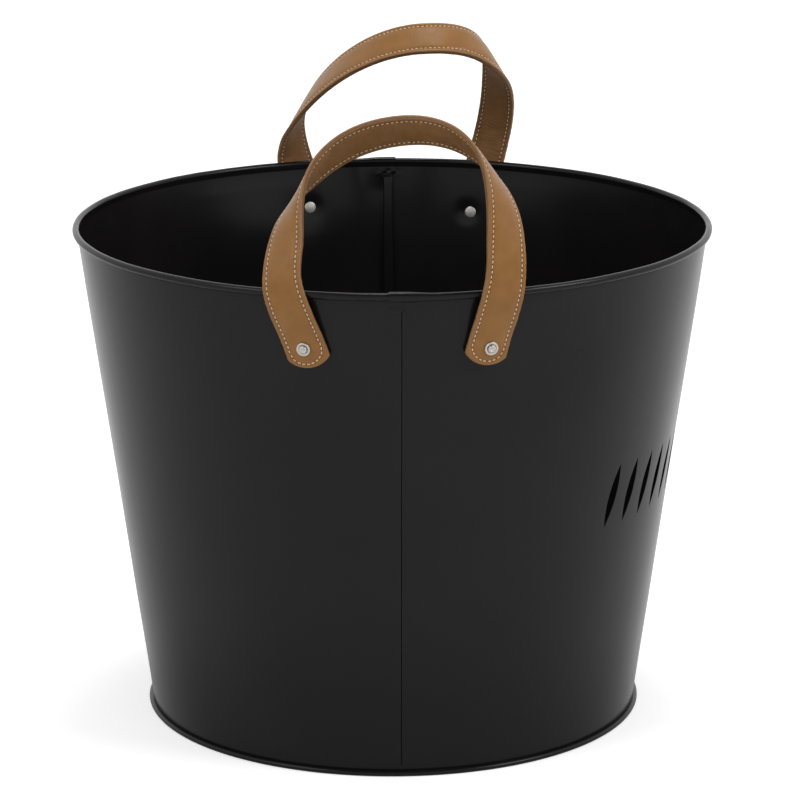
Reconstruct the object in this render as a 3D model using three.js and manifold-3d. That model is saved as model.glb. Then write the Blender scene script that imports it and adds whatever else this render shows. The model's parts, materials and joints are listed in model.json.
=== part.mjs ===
// A round, tapered bucket for kindling: two half shells of thin sheet steel, joined by flat lock
// seams, rolled over a wire at the rim and hemmed to a pressed base, with two leather loop handles.
// Millimetres, +Z up. The origin is on the floor under the bucket's axis. The handles stand at -Y
// (front) and +Y (rear), and the vents are on the +X side.
import * as THREE from "three";
import { mergeVertices } from "three/addons/utils/BufferGeometryUtils.js";
import Module from "manifold-3d";

// ---- Driving dimensions ----
const HEIGHT = 312; // floor to the top of the rolled rim
const RIM_RADIUS = 200; // outside of the rolled rim
const BASE_RADIUS = 154.2; // outside of the wall, carried down to the floor
const SHEET = 0.6; // wall and base sheet
const SEAT_GAP = 0.3; // clearance between pieces that touch
const SEGMENTS = 66; // facets round the bucket

const WIRE_DIAMETER = 2.6; // wire inside the rim
const BEAD_STAND = 2.4; // how far the rolled rim stands out from the wall
const CURL_SWEEP = 290; // degrees of wire that the rim sheet wraps

const FOOT_STAND = 3; // how far the base hem stands out from the wall
const BASE_RISE = 5; // lift of the pressed middle of the base
const BASE_PRESS_INSET = 12; // from the wall to the foot of the pressed slope
const BASE_SLOPE = 5; // width of the pressed slope

const SEAM_WIDTH = 6; // across the folded layers of a lock seam
const SEAM_RIM_CLEARANCE = 11; // where the folded layers stop below the rim
const SEAM_FOOT_CLEARANCE = 6; // where they start above the floor
const RISER_RADIUS = 0.7; // bend of the sheet that steps under the seam
const SEAM_LAP = 1.2; // how far a folded edge runs into the wall that it is part of
const SEAM_LAP_SHEET = 0.5; // its thickness at the start of that lap
const SEAM_END_LAP = 1; // how far the folded layers run past the cuts made for them

const STRAP_WIDTH = 25;
const LEATHER = 1.4; // each of a strap's two layers
const TAB_TIP_RADIUS = 16; // rounding of a strap's ends
const RIM_STEP = 14; // height over which a strap steps out past the rim
const RIM_REACH = 1; // straight stretch of a tab above the rim
const CURVE_FADE = 0.3; // share of a leg over which it loses the curve of the wall
const TIP_ALLOWANCE = 5; // strap laid past its end, for the rounding cut
const FLEX_RADIUS = 9.6; // round end of a loop, about the line where its legs flex over the rim

const SHANK_DIAMETER = 3;
const HEAD_DIAMETER = 7.9; // rivet head, inside the bucket
const HEAD_THICKNESS = 1.1;
const WASHER_DIAMETER = 8.4; // washer, on the leather
const WASHER_THICKNESS = 1;
const WASHER_BEVEL = 0.45;
const WASHER_DIP = 0.3; // depth of the seat round its hole
const CLINCH_DIAMETER = 4.6; // rolled end of the rivet, on the washer
const CLINCH_THICKNESS = 0.8;
const BORE_DIAMETER = 1.5; // hollow of the rivet's rolled end
const BORE_DEPTH = 1.6;
const RIVET_SIDES = 12;

const VENT_COUNT = 15;
const VENT_HEIGHT = 41;
const VENT_WIDTH = 7;
const VENT_PITCH = 18.5; // along the wall
const VENT_LEVEL = 166; // floor to the middle of the vents
const VENT_SLANT = 13; // degrees

// The run of each handle, whose legs are placed and cut by hand, so no two are alike. A tab's rivet
// stands at a spread from the seam, along the wall, and a drop below the top of the rim. The tab leans
// away from the seam by its splay in degrees, its centreline passes the rivet at an inset towards the
// seam, and its rounded end reaches tip below the rivet, its lowest point skewed towards the seam. A leg
// leaves the rim straight over its lift and arrives at the top straight over its reach. Its twist is the
// pace at which it turns over, its bow says how far its inner edge swings outwards on the way, and its
// arch is how far its middle stands out from its edges there. The top of the loop is given from the rim:
// rise above it, inset towards the axis and offset along X, with the slope, heading and lean of the
// strap there in degrees.
const HANDLES = [
  {
    name: "front", side: -1,
    top: { rise: 88.2, inset: 40.8, offset: 5.2, slope: 6.8, heading: -11.9, lean: 49.4 },
    left: {
      spread: 53.7, drop: 34.6, splay: 19.7, inset: 0.7, tip: 12.8, skew: 1.4,
      lift: 6, reach: 81, twist: 1.16, bow: 0.36, arch: 1.6,
    },
    right: {
      spread: 55, drop: 34.7, splay: 13.8, inset: 1.8, tip: 11.2, skew: 0.5,
      lift: 6, reach: 74.5, twist: 1.27, bow: 0.4, arch: 1.8,
    },
  },
  {
    name: "rear", side: 1,
    top: { rise: 89.1, inset: 48.1, offset: 20.4, slope: 4.7, heading: 5, lean: 38.7 },
    left: {
      spread: 54, drop: 31.4, splay: 18.4, inset: 1.2, tip: 12, skew: 0.9,
      lift: 31.3, reach: 53, twist: 0.6, bow: 0.97, arch: 0.8,
    },
    right: {
      spread: 55.8, drop: 34.8, splay: 16, inset: 1.2, tip: 11.6, skew: 0.7,
      lift: 74.5, reach: 45.8, twist: 0.89, bow: 0.34, arch: 1.7,
    },
  },
];

// Steps of the arcs.
const STEPS = {
  curl: 8, wire: 6, hem: 3, cover: 4, bend: 3, fold: 6, vent: 6, tip: 8, flex: 10, head: 3, roll: 4,
};
const TAB_ROWS = 10; // rows of points along a tab and along a leg above it
const LEG_ROWS = 14;

const PAINTED_STEEL = new THREE.MeshStandardMaterial({ color: 0x1d1d1e, roughness: 0.42, metalness: 0.1 });
const BARE_STEEL = new THREE.MeshStandardMaterial({ color: 0x8f9194, roughness: 0.4, metalness: 1 });
const RIVET_METAL = new THREE.MeshStandardMaterial({ color: 0xc4c4be, roughness: 0.3, metalness: 1 });
const TAN_LEATHER = new THREE.MeshStandardMaterial({ color: 0x8d653d, roughness: 0.55, metalness: 0 });
const LINING_LEATHER = new THREE.MeshStandardMaterial({ color: 0x6c4f30, roughness: 0.75, metalness: 0 });

// ---- Sizes that follow ----
const UP = new THREE.Vector3(0, 0, 1);
const LAYER = SHEET + SEAT_GAP; // pitch of folded layers
const OUT_OF_ROUND = 1 / Math.cos(Math.PI / SEGMENTS); // facet corner to facet middle
const FACET_BULGE = RIM_RADIUS * (OUT_OF_ROUND - 1);

const BEAD_RADIUS = WIRE_DIAMETER / 2 + SEAT_GAP + SHEET;
const BEAD_CENTRE = { r: RIM_RADIUS - BEAD_RADIUS, z: HEIGHT - BEAD_RADIUS };
const WALL_TOP_RADIUS = RIM_RADIUS - BEAD_STAND;
const WALL_LEAN = Math.atan((WALL_TOP_RADIUS - BASE_RADIUS) / HEIGHT);

const HEM_MIDDLE = 1.5 * LAYER + SHEET / 2; // middle of the four hem layers
const HEM_CENTRE = { r: wallRadius(HEM_MIDDLE) + FOOT_STAND - HEM_MIDDLE, z: HEM_MIDDLE };

const SEAM_BOTTOM = SEAM_FOOT_CLEARANCE;
const SEAM_TOP = HEIGHT - SEAM_RIM_CLEARANCE;

const STRAP_THICKNESS = 2 * LEATHER + SEAT_GAP;
const STRAP_SAG = (STRAP_WIDTH / 4) ** 2 / (2 * RIM_RADIUS); // between the strap's three lines of points
const STRAP_SEAT = SEAT_GAP + FACET_BULGE + STRAP_SAG; // wall to the back of a strap
const STRAP_STEP = RIM_RADIUS - wallRadius(BEAD_CENTRE.z); // wall to bead
const FLEX_LEVEL = HEIGHT + SEAT_GAP + FLEX_RADIUS;

// ---- Solids ----
const wasm = await Module();
wasm.setup();

// The closed geometry as a solid for joining and cutting.
function solid(geometry) {
  const bare = geometry.clone();
  bare.deleteAttribute("normal");
  bare.deleteAttribute("uv");
  const merged = mergeVertices(bare, 1e-4);
  return new wasm.Manifold(
    new wasm.Mesh({
      numProp: 3,
      vertProperties: merged.attributes.position.array,
      triVerts: new Uint32Array(merged.index.array),
    }),
  );
}

// The solid as a geometry.
function geometryOf(body) {
  const { vertProperties, triVerts } = body.getMesh();
  const geometry = new THREE.BufferGeometry();
  geometry.setAttribute("position", new THREE.BufferAttribute(new Float32Array(vertProperties), 3));
  geometry.setIndex(new THREE.BufferAttribute(new Uint32Array(triVerts), 1));
  geometry.computeVertexNormals();
  return geometry;
}

function part(name, geometry, material) {
  const mesh = new THREE.Mesh(geometry, material);
  mesh.name = name;
  return mesh;
}

function block(low, high) {
  const size = high.map((value, i) => value - low[i]);
  const box = new THREE.BoxGeometry(...size);
  return box.translate(...high.map((value, i) => (value + low[i]) / 2));
}

// ---- Outlines ----
// The outer radius of the wall at a height above the floor.
function wallRadius(z) {
  return BASE_RADIUS + (WALL_TOP_RADIUS - BASE_RADIUS) * (z / HEIGHT);
}

function smoothStep(t) {
  const x = THREE.MathUtils.clamp(t, 0, 1);
  return x * x * (3 - 2 * x);
}

// Points round an ellipse, at even steps of angle.
function ellipse(x, y, across, up, startDegrees, endDegrees, steps) {
  return Array.from({ length: steps + 1 }, (_, i) => {
    const angle = THREE.MathUtils.degToRad(startDegrees + ((endDegrees - startDegrees) * i) / steps);
    return new THREE.Vector2(x + across * Math.cos(angle), y + up * Math.sin(angle));
  });
}

function arc(x, y, radius, startDegrees, endDegrees, steps) {
  return ellipse(x, y, radius, radius, startDegrees, endDegrees, steps);
}

// The outline of a bent sheet whose middle follows a path: one side out, the other side back.
function sheetOutline(path, thickness = () => SHEET) {
  const sides = [[], []];
  path.forEach((point, i) => {
    const before = point.clone().sub(path[Math.max(i - 1, 0)]).normalize();
    const after = path[Math.min(i + 1, path.length - 1)].clone().sub(point).normalize();
    const tangent = before.clone().add(after).normalize();
    const normal = new THREE.Vector2(-tangent.y, tangent.x);
    const mitre = before.lengthSq() && after.lengthSq() ? Math.max(tangent.dot(after), 0.5) : 1;
    const reach = thickness(i) / 2 / mitre;
    sides[0].push(point.clone().addScaledVector(normal, reach));
    sides[1].unshift(point.clone().addScaledVector(normal, -reach));
  });
  return sides.flat();
}

// A closed outline of (radius, height) points turned about the bucket's axis, with facet middles at the
// given radii and at -Y and +Y.
function turned(outline, sides = SEGMENTS, start = Math.PI / SEGMENTS, scale = OUT_OF_ROUND) {
  const points = outline.map((p) => new THREE.Vector2(Math.max(p.x, 0) * scale, p.y));
  const area = THREE.ShapeUtils.area(points);
  if (area < 0) points.reverse();
  points.push(points[0].clone());
  return new THREE.LatheGeometry(points, sides, start).rotateX(Math.PI / 2);
}

// ---- Bucket ----
// The middle of the wall sheet: hem at the foot, straight wall, neck and curl round the wire.
function wallPath() {
  const back = SHEET / 2 / Math.cos(WALL_LEAN);
  const wallMiddle = (z) => wallRadius(z) - back;
  const hem = arc(HEM_CENTRE.r, HEM_CENTRE.z, LAYER / 2, -90, 90, STEPS.hem);
  const hemTop = HEM_CENTRE.z + LAYER / 2;
  const neck = BEAD_CENTRE.z - BEAD_RADIUS - SHEET;
  const curlRadius = BEAD_RADIUS - SHEET / 2;
  const curl = arc(BEAD_CENTRE.r, BEAD_CENTRE.z, curlRadius, 180, 180 - CURL_SWEEP, STEPS.curl);
  return [
    new THREE.Vector2(wallMiddle(0), HEM_CENTRE.z - LAYER / 2),
    ...hem,
    new THREE.Vector2(wallMiddle(hemTop), hemTop),
    new THREE.Vector2(wallMiddle(neck), neck),
    ...curl,
  ];
}

// The middle of the base sheet: pressed middle, flat foot, and the hem that folds over the wall's.
function basePath() {
  const foot = wallRadius(0) - BASE_PRESS_INSET;
  const fold = arc(HEM_CENTRE.r, HEM_CENTRE.z, 1.5 * LAYER, -90, 90, STEPS.cover);
  const top = fold[fold.length - 1].y;
  return [
    new THREE.Vector2(0, BASE_RISE + SHEET / 2),
    new THREE.Vector2(foot - BASE_SLOPE, BASE_RISE + SHEET / 2),
    new THREE.Vector2(foot, SHEET / 2),
    ...fold,
    new THREE.Vector2(wallRadius(top) + SEAT_GAP, top),
  ];
}

// Turns (across, inwards, up) of a seam into the bucket's frame at the front, from the seam's foot.
function seamFrame() {
  const across = new THREE.Vector3(1, 0, 0);
  const inwards = new THREE.Vector3(0, Math.cos(WALL_LEAN), Math.sin(WALL_LEAN));
  const up = new THREE.Vector3(0, -Math.sin(WALL_LEAN), Math.cos(WALL_LEAN));
  const frame = new THREE.Matrix4().makeBasis(across, inwards, up);
  return frame.setPosition(0, -wallRadius(SEAM_BOTTOM), SEAM_BOTTOM);
}

// One folded edge of a seam. Its first stretch thins a little, to lap inside the wall that it joins.
function seamEdge(path) {
  const outline = sheetOutline(path, (i) => (i === 0 ? SEAM_LAP_SHEET : SHEET));
  const length = (SEAM_TOP - SEAM_BOTTOM) / Math.cos(WALL_LEAN);
  const edge = new THREE.ExtrudeGeometry(new THREE.Shape(outline), { depth: length, bevelEnabled: false });
  return solid(edge.applyMatrix4(seamFrame()));
}

const HOOK_START = SEAM_WIDTH / 2 - LAYER - SHEET / 2; // where a folded edge begins to turn
const RISER = SEAM_WIDTH / 2 + SEAT_GAP + SHEET / 2;
const STEP_START = RISER + RISER_RADIUS;

// The edge that stays flush outside: it folds inwards and hooks back.
function flushHook() {
  const level = SHEET / 2;
  const fold = arc(HOOK_START, level + LAYER, LAYER, -90, 90, STEPS.fold);
  return seamEdge([
    new THREE.Vector2(HOOK_START - SEAM_LAP, level),
    ...fold,
    new THREE.Vector2(-HOOK_START, level + 2 * LAYER),
  ]);
}

// The edge that steps inwards under the other one, folds outwards and hooks back.
function steppedHook() {
  const level = SHEET / 2;
  const deep = level + 3 * LAYER;
  const outerBend = arc(STEP_START, level + RISER_RADIUS, RISER_RADIUS, -90, -180, STEPS.bend);
  const innerBend = arc(RISER - RISER_RADIUS, deep - RISER_RADIUS, RISER_RADIUS, 0, 90, STEPS.bend);
  const fold = arc(-HOOK_START, deep - LAYER, LAYER, 90, 270, STEPS.fold);
  return seamEdge([
    new THREE.Vector2(STEP_START + SEAM_LAP, level),
    ...outerBend,
    ...innerBend,
    ...fold,
    new THREE.Vector2(HOOK_START, level + LAYER),
  ]);
}

// What a half shell keeps of the turned wall: all at -X, past each seam by that seam's own reach. The
// reach is shorter where a folded edge takes over.
function halfRegion() {
  const far = 2 * RIM_RADIUS;
  const low = SEAM_BOTTOM + SEAM_END_LAP;
  const high = SEAM_TOP - SEAM_END_LAP;
  const zones = [
    { z: [-HEIGHT, low], front: SEAM_WIDTH / 2, rear: -SEAM_WIDTH / 2 - SEAT_GAP },
    { z: [low, high], front: HOOK_START - SEAM_LAP / 2, rear: -STEP_START },
    { z: [high, 2 * HEIGHT], front: SEAM_WIDTH / 2, rear: -SEAM_WIDTH / 2 - SEAT_GAP },
  ];
  return zones
    .flatMap(({ z, front, rear }) => [
      block([-far, -far, z[0]], [front, 0, z[1]]),
      block([-far, 0, z[0]], [rear, far, z[1]]),
    ])
    .map(solid)
    .reduce((region, piece) => region.add(piece));
}

// The half shell at -X: flush edge at the front, stepped edge at the rear.
function halfShell() {
  const wall = solid(turned(sheetOutline(wallPath())));
  const rearHook = steppedHook().rotate([0, 0, 180]);
  return wall.intersect(halfRegion()).add(flushHook()).add(rearHook);
}

// A frame on the wall's outside: X along the wall, Y up the wall and Z outwards.
function wallFrame(angle, z, turn = 0) {
  const along = new THREE.Vector3(-Math.sin(angle), Math.cos(angle), 0);
  const radial = new THREE.Vector3(Math.cos(angle), Math.sin(angle), 0);
  const outwards = radial.clone().multiplyScalar(Math.cos(WALL_LEAN));
  outwards.addScaledVector(UP, -Math.sin(WALL_LEAN));
  const frame = new THREE.Matrix4().makeBasis(along, outwards.clone().cross(along), outwards);
  frame.setPosition(radial.multiplyScalar(wallRadius(z)).setZ(z));
  return frame.multiply(new THREE.Matrix4().makeRotationZ(turn));
}

// One vent: a pointed oval, leaning, cut straight through the wall.
function ventCutter(index) {
  const halfWidth = VENT_WIDTH / 2;
  const halfHeight = VENT_HEIGHT / 2;
  const radius = (halfHeight ** 2 + halfWidth ** 2) / VENT_WIDTH;
  const half = THREE.MathUtils.radToDeg(Math.asin(halfHeight / radius));
  const right = arc(halfWidth - radius, 0, radius, -half, half, STEPS.vent);
  const left = arc(radius - halfWidth, 0, radius, 180 - half, 180 + half, STEPS.vent);
  const outline = [...right.slice(0, -1), ...left.slice(0, -1)];
  const depth = 20 * SHEET;
  const cutter = new THREE.ExtrudeGeometry(new THREE.Shape(outline), { depth, bevelEnabled: false });
  const angle = ((index - (VENT_COUNT - 1) / 2) * VENT_PITCH) / wallRadius(VENT_LEVEL);
  const frame = wallFrame(angle, VENT_LEVEL, THREE.MathUtils.degToRad(-VENT_SLANT));
  return solid(cutter.translate(0, 0, -depth / 2).applyMatrix4(frame));
}

// ---- Legs ----
// The legs of both handles, left (x = -1) before right, each with the level of its rivet, a frame there,
// and the length of its tab from the rivet up.
const LEGS = HANDLES.flatMap((handle) =>
  [-1, 1].map((x) => {
    const side = x < 0 ? "left" : "right";
    const leg = handle[side];
    const splay = THREE.MathUtils.degToRad(leg.splay);
    const level = HEIGHT - leg.drop;
    const frame = wallFrame(handle.side * (Math.PI / 2 - (x * leg.spread) / wallRadius(level)), level);
    const tab = (leg.drop + RIM_REACH) / (Math.cos(splay) * Math.cos(WALL_LEAN));
    return { ...leg, handle, x, name: `${handle.name}_${side}`, splay, level, frame, tab };
  }),
);

// ---- Rivets ----

const WASHER_SEAT = STRAP_SEAT + STRAP_THICKNESS + SEAT_GAP;
const CLINCH_SEAT = WASHER_SEAT + WASHER_THICKNESS - WASHER_DIP + SEAT_GAP;

// A semi-tubular rivet on the Z axis, from its domed head inside the wall to its rolled end.
function rivetGeometry() {
  const shank = SHANK_DIAMETER / 2;
  const bore = BORE_DIAMETER / 2;
  const roll = CLINCH_DIAMETER / 2;
  const seat = -SHEET - SEAT_GAP;
  const floor = CLINCH_SEAT + CLINCH_THICKNESS - BORE_DEPTH;
  const head = ellipse(0, seat, HEAD_DIAMETER / 2, HEAD_THICKNESS, -90, 0, STEPS.head);
  const middle = (roll + bore) / 2;
  const rolled = ellipse(middle, CLINCH_SEAT, roll - middle, CLINCH_THICKNESS, 0, 180, STEPS.roll);
  const outline = [
    ...head,
    new THREE.Vector2(shank, seat),
    new THREE.Vector2(shank, CLINCH_SEAT),
    ...rolled,
    new THREE.Vector2(bore, floor),
    new THREE.Vector2(0, floor),
  ];
  return turned(outline, RIVET_SIDES, 0, 1);
}

// A cup washer: bevelled rim, lower seat round its hole.
function washerGeometry() {
  const outer = WASHER_DIAMETER / 2;
  const hole = SHANK_DIAMETER / 2 + SEAT_GAP;
  const groove = CLINCH_DIAMETER / 2 + SEAT_GAP;
  const top = WASHER_SEAT + WASHER_THICKNESS;
  const outline = [
    [hole, WASHER_SEAT],
    [outer, WASHER_SEAT],
    [outer, top - WASHER_BEVEL],
    [outer - WASHER_BEVEL, top],
    [groove + WASHER_DIP, top],
    [groove, top - WASHER_DIP],
    [hole, top - WASHER_DIP],
  ];
  return turned(outline.map(([r, z]) => new THREE.Vector2(r, z)), RIVET_SIDES, 0, 1);
}

// A round hole for each rivet, through all that it joins.
function rivetHoles() {
  const radius = SHANK_DIAMETER / 2 + SEAT_GAP;
  const length = 2 * (WASHER_SEAT + SHEET);
  const hole = new THREE.CylinderGeometry(radius, radius, length, RIVET_SIDES).rotateX(Math.PI / 2);
  return LEGS.map(({ frame }) => solid(hole.clone().applyMatrix4(frame))).reduce((a, b) => a.add(b));
}

// ---- Straps ----
// A point of a leg where it lies on the wall, for a left leg of the front strap: a mm up the strap from
// the rivet, w mm across it towards the seam, t mm outwards from the middle of its thickness.
function tabPoint({ spread, splay, inset, level }, a, w, t) {
  const along = inset - spread - a * Math.sin(splay) + w * Math.cos(splay);
  const up = a * Math.cos(splay) + w * Math.sin(splay);
  const z = level + up * Math.cos(WALL_LEAN);
  const step = STRAP_STEP * smoothStep((z - (BEAD_CENTRE.z - BEAD_RADIUS - RIM_STEP)) / RIM_STEP);
  const radius = wallRadius(z) + STRAP_SEAT + STRAP_THICKNESS / 2 + step + t;
  const angle = along / wallRadius(z);
  return new THREE.Vector3(radius * Math.sin(angle), -radius * Math.cos(angle), z);
}

// The strap's frame at the top of its loop, for a leg that comes from the left (x = -1) or the right,
// mirrored to the left.
function topFrame({ rise, inset, offset, slope, heading, lean }, x) {
  const [roll, yaw, tilt] = [slope, heading, lean].map(THREE.MathUtils.degToRad);
  const point = new THREE.Vector3(-x * offset, inset - RIM_RADIUS, HEIGHT + rise);
  const tangent = new THREE.Vector3(
    Math.cos(roll) * Math.cos(yaw),
    -x * Math.sin(yaw),
    -x * Math.sin(roll) * Math.cos(yaw),
  );
  const across = new THREE.Vector3(0, -Math.cos(tilt), Math.sin(tilt));
  across.addScaledVector(tangent, -across.dot(tangent)).normalize();
  return { point, tangent, across };
}

// Points of the free part of a leg, as of a left leg of the front strap, s from 0 at the rim to 1 at the
// top. The middle follows a cubic curve, and the strap turns over as it goes, so that its inner edge at
// the rim is its upper edge at the top.
function freeLeg(leg) {
  const small = 0.5;
  const top = topFrame(leg.handle.top, leg.x);
  const start = tabPoint(leg, leg.tab, 0, 0);
  const rising = start.clone().sub(tabPoint(leg, leg.tab - small, 0, 0)).normalize();
  const wide = tabPoint(leg, leg.tab, small, 0).sub(tabPoint(leg, leg.tab, -small, 0)).normalize();
  const curve = new THREE.CubicBezierCurve3(
    start,
    start.clone().addScaledVector(rising, leg.lift),
    top.point.clone().addScaledVector(top.tangent, -leg.reach),
    top.point,
  );
  return (s, w, t) => {
    const tangent = curve.getTangent(s);
    const turn = smoothStep(s ** leg.twist);
    const across = wide.clone().multiplyScalar((1 - turn) ** 2);
    across.addScaledVector(new THREE.Vector3(0, -1, 0), 2 * turn * (1 - turn) * leg.bow);
    across.addScaledVector(top.across, turn ** 2);
    across.addScaledVector(tangent, -across.dot(tangent)).normalize();
    const outwards = across.clone().cross(tangent);
    const curl = (w ** 2 / (2 * RIM_RADIUS)) * (1 - smoothStep(s / CURVE_FADE));
    const arch = leg.arch * 4 * turn * (1 - turn) * (w / (STRAP_WIDTH / 2)) ** 2;
    return curve.getPoint(s).addScaledVector(across, w).addScaledVector(outwards, t - curl - arch);
  };
}

// The rows of one leg, from below its rounded end up to the top: each row gives a point for (w, t).
function legRows(leg) {
  const free = freeLeg(leg);
  const low = -leg.tip - TIP_ALLOWANCE;
  const rows = [];
  for (let i = 0; i < TAB_ROWS; i++) {
    const a = low + ((leg.tab - low) * i) / TAB_ROWS;
    rows.push((w, t) => tabPoint(leg, a, w, t));
  }
  for (let i = 0; i <= LEG_ROWS; i++) rows.push((w, t) => free(i / LEG_ROWS, w, t));
  const mirror = new THREE.Vector3(-leg.x, -leg.handle.side, 1);
  return rows.map((row) => (w, t) => row(w, t).multiply(mirror));
}

// One layer of a whole strap, between two offsets from the middle of its thickness.
function strapLayer([left, right], low, high) {
  const rows = [...legRows(left), ...legRows(right).reverse().slice(1)];
  const half = STRAP_WIDTH / 2;
  const ring = [[-half, low], [0, low], [half, low], [half, high], [0, high], [-half, high]];
  const points = rows.flatMap((row) => ring.map(([w, t]) => row(w, t)));
  const n = ring.length;
  const faces = [];
  for (let i = 0; i < rows.length - 1; i++)
    for (let j = 0; j < n; j++) {
      const [a, b] = [i * n + j, i * n + ((j + 1) % n)];
      if (j < n / 2) faces.push([a, b, b + n], [a, b + n, a + n]);
      else faces.push([a, b, a + n], [b, b + n, a + n]); // both sides of a layer split alike
    }
  const last = (rows.length - 1) * n;
  for (const [a, b, c] of [[0, 5, 4], [0, 4, 1], [1, 4, 3], [1, 3, 2]]) {
    faces.push([a, b, c], [last + a, last + c, last + b]);
  }
  const flip = left.handle.side < 0;
  const geometry = new THREE.BufferGeometry().setFromPoints(points);
  geometry.setIndex(faces.flatMap(([a, b, c]) => (flip ? [a, c, b] : [a, b, c])));
  return solid(geometry);
}

// What rounds off a strap's end: everything past an arc below the rivet.
function tipCutter({ handle, x, frame, splay, inset, tip, skew }) {
  const towards = x * handle.side; // sign of the frame's X towards the seam
  const wide = STRAP_WIDTH;
  const reach = 4 * tip;
  const middle = towards * skew;
  const half = THREE.MathUtils.radToDeg(Math.asin((STRAP_WIDTH / 2 + skew + SEAT_GAP) / TAB_TIP_RADIUS));
  const end = arc(middle, TAB_TIP_RADIUS - tip, TAB_TIP_RADIUS, -90 - half, -90 + half, STEPS.tip);
  const outline = [
    new THREE.Vector2(-wide, -reach),
    new THREE.Vector2(wide, -reach),
    new THREE.Vector2(wide, end[end.length - 1].y),
    ...end.reverse(),
    new THREE.Vector2(-wide, end[0].y),
  ];
  const depth = 4 * WASHER_SEAT;
  const cutter = new THREE.ExtrudeGeometry(new THREE.Shape(outline), { depth, bevelEnabled: false });
  const turn = new THREE.Matrix4().makeRotationZ(towards * splay);
  const shift = new THREE.Matrix4().makeTranslation(towards * inset, 0, 0);
  return solid(cutter.translate(0, 0, -depth / 2).applyMatrix4(frame.clone().multiply(shift).multiply(turn)));
}

// The Y of a handle's flex line: the middle of its two legs at the flex level.
function flexY(legs) {
  const crossings = legs.map((leg) => {
    const free = freeLeg(leg);
    let [below, above] = [0, 0.5];
    for (let i = 0; i < 30; i++) {
      const middle = (below + above) / 2;
      if (free(middle, 0, 0).z < FLEX_LEVEL) below = middle;
      else above = middle;
    }
    return free(below, 0, 0).y;
  });
  return (-legs[0].handle.side * (crossings[0] + crossings[1])) / 2;
}

// The space about a handle's flex line: all above a level at or under the line, and round about the
// line down to a radius.
function loopRegion(legs, radius, level) {
  const far = 2 * RIM_RADIUS;
  const y = flexY(legs);
  const dip = THREE.MathUtils.radToDeg(Math.asin((FLEX_LEVEL - level) / radius));
  const under = arc(y, FLEX_LEVEL, radius, 180 + dip, 360 - dip, STEPS.flex);
  const corners = [[y + far, level], [y + far, 2 * HEIGHT], [y - far, 2 * HEIGHT], [y - far, level]];
  const outline = [...under, ...corners.map(([a, b]) => new THREE.Vector2(a, b))];
  const shape = new THREE.Shape(outline);
  const region = new THREE.ExtrudeGeometry(shape, { depth: 2 * far, bevelEnabled: false });
  // (x, y, z) of the extrusion become (y, z, x) of the bucket
  region.applyMatrix4(new THREE.Matrix4().set(0, 0, 1, -far, 1, 0, 0, 0, 0, 1, 0, 0, 0, 0, 0, 1));
  return solid(region);
}

// One handle: for each of its two layers, the loop above the rim and the two tabs riveted to the wall.
function handleParts(handle, holes) {
  const legs = LEGS.filter((leg) => leg.handle === handle);
  const loopSpace = loopRegion(legs, FLEX_RADIUS, FLEX_LEVEL);
  const tabClearance = loopRegion(legs, FLEX_RADIUS + SEAT_GAP, FLEX_LEVEL - FLEX_RADIUS / 2);
  const cuts = legs.map(tipCutter).reduce((a, b) => a.add(b)).add(holes);
  const far = 2 * RIM_RADIUS;
  const leftSide = solid(block([-far, -far, 0], [0, far, 2 * HEIGHT]));
  const layers = [
    { kind: "outer", low: SEAT_GAP / 2, material: TAN_LEATHER },
    { kind: "lining", low: -SEAT_GAP / 2 - LEATHER, material: LINING_LEATHER },
  ];
  return layers.flatMap(({ kind, low, material }) => {
    const strap = strapLayer(legs, low, low + LEATHER).subtract(cuts);
    const tabs = strap.subtract(tabClearance);
    return [
      part(`${handle.name}_loop_${kind}`, geometryOf(strap.intersect(loopSpace)), material),
      part(`${handle.name}_tab_left_${kind}`, geometryOf(tabs.intersect(leftSide)), material),
      part(`${handle.name}_tab_right_${kind}`, geometryOf(tabs.subtract(leftSide)), material),
    ];
  });
}

// ---- Assembly ----
function bucketParts(holes) {
  const left = halfShell();
  const right = left.rotate([0, 0, 180]);
  const vents = Array.from({ length: VENT_COUNT }, (_, i) => ventCutter(i)).reduce((a, b) => a.add(b));
  const wire = arc(BEAD_CENTRE.r, BEAD_CENTRE.z, WIRE_DIAMETER / 2, 0, 360, STEPS.wire).slice(0, -1);
  return [
    part("wall_panel_left", geometryOf(left.subtract(holes)), PAINTED_STEEL),
    part("wall_panel_right", geometryOf(right.subtract(holes).subtract(vents)), PAINTED_STEEL),
    part("base_disc", turned(sheetOutline(basePath())), PAINTED_STEEL),
    part("rim_wire", turned(wire), BARE_STEEL),
  ];
}

function fasteners() {
  const rivet = rivetGeometry();
  const washer = washerGeometry();
  return LEGS.flatMap(({ name, frame }) => {
    const pieces = [part(`rivet_${name}`, rivet, RIVET_METAL), part(`washer_${name}`, washer, RIVET_METAL)];
    pieces.forEach((piece) => piece.applyMatrix4(frame));
    return pieces;
  });
}

const bucket = new THREE.Group();
const holes = rivetHoles();
bucket.add(...bucketParts(holes), ...fasteners());
for (const handle of HANDLES) {
  const group = new THREE.Group();
  group.add(...handleParts(handle, holes));
  bucket.add(group);
}

export default bucket;
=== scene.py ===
"""A round, tapered kindling bucket of black painted sheet steel with two stitched leather handles.

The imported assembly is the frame, which gives every place and motion. This script makes the visible
surfaces round it. Shapes are in millimetres until a mesh is made.
"""
import json
import math

import bmesh
import bpy
import numpy as np
from mathutils import Matrix, Vector
from mathutils.kdtree import KDTree

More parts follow.
